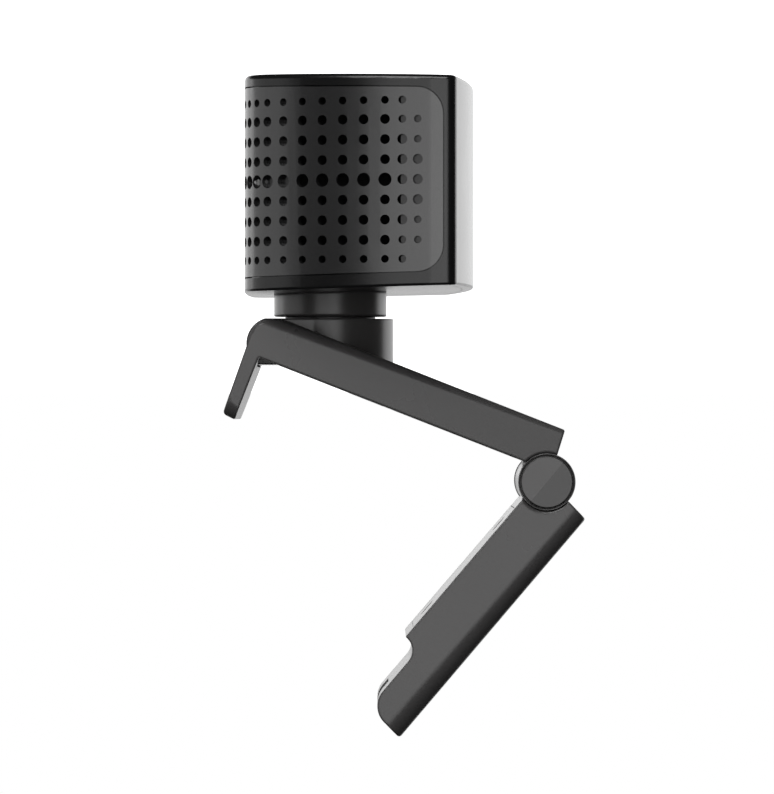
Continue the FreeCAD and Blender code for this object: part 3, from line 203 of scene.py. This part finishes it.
def brushed_metal(name, colour, roughness):
    """Metal with fine streaks in tone, gloss and height."""
    material, tree, shader = new_material(name)
    streaks = noise(tree, 900, 3, (1, 1, 12))
    light = tuple(min(1.0, c * 1.1) for c in colour)
    dark = tuple(c * 0.85 for c in colour)
    tree.links.new(mix_colours(tree, streaks, dark, light), shader.inputs["Base Color"])
    tree.links.new(remap(tree, streaks, roughness - 0.06, roughness + 0.08), shader.inputs["Roughness"])
    shader.inputs["Metallic"].default_value = 1.0
    bump = add_node(tree, "ShaderNodeBump", Strength=0.2, Distance=0.00001)
    tree.links.new(streaks, bump.inputs["Height"])
    tree.links.new(bump.outputs["Normal"], shader.inputs["Normal"])
    return material


def coated_glass(name, tint):
    """Front glass with a faint coating and barely visible dust."""
    material, tree, shader = new_material(name)
    shader.inputs["Transmission Weight"].default_value = 1.0
    shader.inputs["IOR"].default_value = 1.5
    film = noise(tree, 60, 2)
    tree.links.new(mix_colours(tree, film, tint, tuple(min(1, c + 0.03) for c in tint)),
                   shader.inputs["Base Color"])
    tree.links.new(remap(tree, noise(tree, 700, 3), 0.01, 0.04), shader.inputs["Roughness"])
    return material


def woven_mesh(name):
    """Black acoustic cloth: crossed threads as bump and tone."""
    material, tree, shader = new_material(name)
    place = tree.nodes.new("ShaderNodeTexCoord")
    heights = []
    for axis in ("X", "Z"):
        wave = add_node(tree, "ShaderNodeTexWave", bands_direction=axis, Scale=THREAD_SCALE)
        tree.links.new(place.outputs["Object"], wave.inputs["Vector"])
        heights.append(wave.outputs["Fac"])
    weave = add_node(tree, "ShaderNodeMath", operation="MULTIPLY")
    tree.links.new(heights[0], weave.inputs[0])
    tree.links.new(heights[1], weave.inputs[1])
    tree.links.new(mix_colours(tree, weave.outputs[0], (0.002, 0.002, 0.002), (0.008, 0.008, 0.008)),
                   shader.inputs["Base Color"])
    shader.inputs["Roughness"].default_value = 0.9
    shader.inputs["Specular IOR Level"].default_value = 0.1
    bump = add_node(tree, "ShaderNodeBump", Strength=0.8, Distance=0.00005)
    tree.links.new(weave.outputs[0], bump.inputs["Height"])
    tree.links.new(bump.outputs["Normal"], shader.inputs["Normal"])
    return material


def board_material(name):
    """Solder resist over copper tracks."""
    material, tree, shader = new_material(name)
    place = tree.nodes.new("ShaderNodeTexCoord")
    cells = add_node(tree, "ShaderNodeTexVoronoi", feature="DISTANCE_TO_EDGE", Scale=TRACK_SCALE)
    tree.links.new(place.outputs["Object"], cells.inputs["Vector"])
    tracks = remap(tree, cells.outputs["Distance"], 1.0, 0.0, 0.02, 0.06)
    tree.links.new(mix_colours(tree, tracks, (0.01, 0.05, 0.03), (0.03, 0.14, 0.07)),
                   shader.inputs["Base Color"])
    tree.links.new(remap(tree, noise(tree, 300), 0.3, 0.45), shader.inputs["Roughness"])
    return material


def rubber_material(name, colour):
    """Matt rubber or pressed paper with a pebbled face."""
    material, tree, shader = new_material(name)
    clouds = noise(tree, 160, 4)
    tree.links.new(mix_colours(tree, clouds, tuple(c * 0.8 for c in colour), tuple(c * 1.2 for c in colour)),
                   shader.inputs["Base Color"])
    tree.links.new(remap(tree, noise(tree, 80), 0.6, 0.75), shader.inputs["Roughness"])
    shader.inputs["Specular IOR Level"].default_value = 0.35
    bump = add_node(tree, "ShaderNodeBump", Strength=0.5, Distance=0.00003)
    tree.links.new(noise(tree, 4200, 2), bump.inputs["Height"])
    tree.links.new(bump.outputs["Normal"], shader.inputs["Normal"])
    return material


def middle_of(name):
    """Middle of a node in its own coordinates."""
    low, high = (Vector(corner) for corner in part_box(name))
    return NODES[name].matrix_world.inverted() @ ((low + high) / 2)


MATERIALS = {
    "shell": moulded_plastic("shell_plastic", (0.006, 0.006, 0.0063), 0.24),
    "grille": moulded_plastic("grille_plastic", (0.014, 0.014, 0.0144), 0.26, specular=1.0),
    "clip": moulded_plastic("clip_plastic", (0.068, 0.0660, 0.0660), 0.28, rounding=CLIP_EDGE_RADIUS),
    # The cap's colour holds painted shade, darker on one side of a slanted line through its middle.
    "cap": moulded_plastic("cap_plastic_painted_shade", (0.086, 0.084, 0.084), 0.26, rounding=CAP_EDGE_RADIUS,
                           centre=middle_of("hinge_cap_left")),
    "black_gloss": moulded_plastic("gloss_plastic", (0.004, 0.004, 0.0045), 0.12, SMOOTH_GRAIN_DEPTH),
    "inner_plastic": moulded_plastic("inner_plastic", (0.012, 0.012, 0.013), 0.5),
    "mesh": woven_mesh("acoustic_cloth"),
    "glass": coated_glass("front_glass", (0.93, 0.95, 0.97)),
    "lens_glass": coated_glass("lens_glass", (0.72, 0.78, 0.93)),
    "board": board_material("circuit_board"),
    "chip": moulded_plastic("chip_plastic", (0.012, 0.012, 0.014), 0.4),
    "steel": brushed_metal("steel", (0.55, 0.55, 0.56), 0.3),
    "dark_steel": brushed_metal("dark_steel", (0.09, 0.09, 0.095), 0.35),
    "brass": brushed_metal("brass", (0.78, 0.57, 0.25), 0.25),
    "aluminium": brushed_metal("aluminium", (0.74, 0.75, 0.77), 0.35),
    "rubber": rubber_material("rubber", (0.014, 0.014, 0.0145)),
    "cone_paper": rubber_material("cone_paper", (0.03, 0.03, 0.033)),
    "ribbon": moulded_plastic("ribbon_film", (0.6, 0.56, 0.42), 0.35),
    "light_pipe": moulded_plastic("light_pipe", (0.8, 0.82, 0.85), 0.15, SMOOTH_GRAIN_DEPTH),
}


def dress_nodes():
    """Every CAD node gets the finish of its material slot."""
    for entry in frame["record"]["subparts"]:
        mesh = NODES[entry["node"]].data
        mesh.materials.clear()
        mesh.materials.append(MATERIALS[entry["material_slot"]])


# ---------------------------------------------------------------- studio

AMBIENT = 0.03
STUDIO_WHITE = (1, 1, 1)
PALE_STRENGTH = 1.0
BRIGHT_STRENGTH = 1.6
BACKDROP_Y = 1.3
BACKDROP_HALF_WIDTH = 3.0
BACKDROP_HALF_HEIGHT = 0.3
FLOOR_Z = -1.6
FLOOR_HALF_SIZE = 4.5
LAMPS = {
    "front_light": ((-0.10, -1.6, 0.0), (1.5, 0.7), 5.0),
    "key_light": ((-0.3, -1.2, 1.05), (1.2, 0.8), 16.0),
    "accent_light": ((0.225, -1.6, 0.0), (0.45, 0.7), 0.7),
    "left_light": ((-1.3, 0.0, 0.0), (1.6, 0.6), 2.6),
    "right_rim_light": ((1.1, 1.25, 0.0), (1.6, 0.5), 1.5),
}


def emitter(name, strength):
    """White material that glows evenly."""
    material = bpy.data.materials.new(name)
    material.use_nodes = True
    tree = material.node_tree
    tree.nodes.clear()
    glow = tree.nodes.new("ShaderNodeEmission")
    glow.inputs["Color"].default_value = (*STUDIO_WHITE, 1)
    glow.inputs["Strength"].default_value = strength
    output = tree.nodes.new("ShaderNodeOutputMaterial")
    tree.links.new(glow.outputs["Emission"], output.inputs["Surface"])
    return material


def stage_plane(name, centre, half_u, half_v, material):
    """Flat rectangle spanned by two half-edge vectors."""
    centre, half_u, half_v = Vector(centre), Vector(half_u), Vector(half_v)
    corners = [centre + half_u * a + half_v * b for a, b in ((-1, -1), (1, -1), (1, 1), (-1, 1))]
    mesh = bpy.data.meshes.new(name)
    mesh.from_pydata(corners, [], [(0, 1, 2, 3)])
    obj = bpy.data.objects.new(name, mesh)
    obj.data.materials.append(material)
    bpy.context.collection.objects.link(obj)
    return obj


def soft_box(name, location, size, power):
    """Rectangular area light that faces the object."""
    data = bpy.data.lights.new(name, "AREA")
    data.shape = "RECTANGLE"
    data.size, data.size_y = size
    data.energy = power
    obj = bpy.data.objects.new(name, data)
    obj.location = location
    obj.rotation_euler = (-Vector(location)).to_track_quat("-Z", "Y").to_euler()
    bpy.context.collection.objects.link(obj)


def make_studio():
    """Bright backdrop and floor, three soft boxes on the camera's side, one at each side."""
    pale = emitter("pale_studio", PALE_STRENGTH)
    bright = emitter("bright_studio", BRIGHT_STRENGTH)
    half_width = (BACKDROP_HALF_WIDTH, 0, 0)
    half_height = (0, 0, BACKDROP_HALF_HEIGHT)
    stage_plane("backdrop_low", (0, BACKDROP_Y, -BACKDROP_HALF_HEIGHT), half_width, half_height, pale)
    stage_plane("backdrop_high", (0, BACKDROP_Y, BACKDROP_HALF_HEIGHT), half_width, half_height, bright)
    floor = stage_plane("floor", (0, 0, FLOOR_Z), (FLOOR_HALF_SIZE, 0, 0), (0, FLOOR_HALF_SIZE, 0), pale)
    floor.visible_diffuse = floor.visible_glossy = False
    for name, (location, size, power) in LAMPS.items():
        soft_box(name, location, size, power)
    world = bpy.data.worlds.new("studio")
    world.use_nodes = True
    tree = world.node_tree
    ray = tree.nodes.new("ShaderNodeLightPath")
    strength = remap(tree, ray.outputs["Is Camera Ray"], AMBIENT, 1.0, 0.0, 1.0)
    tree.links.new(strength, tree.nodes["Background"].inputs["Strength"])
    tree.nodes["Background"].inputs["Color"].default_value = (*STUDIO_WHITE, 1)
    bpy.context.scene.world = world
    bpy.context.scene.view_settings.view_transform = "Standard"


make_camera()
dress_nodes()
make_studio()
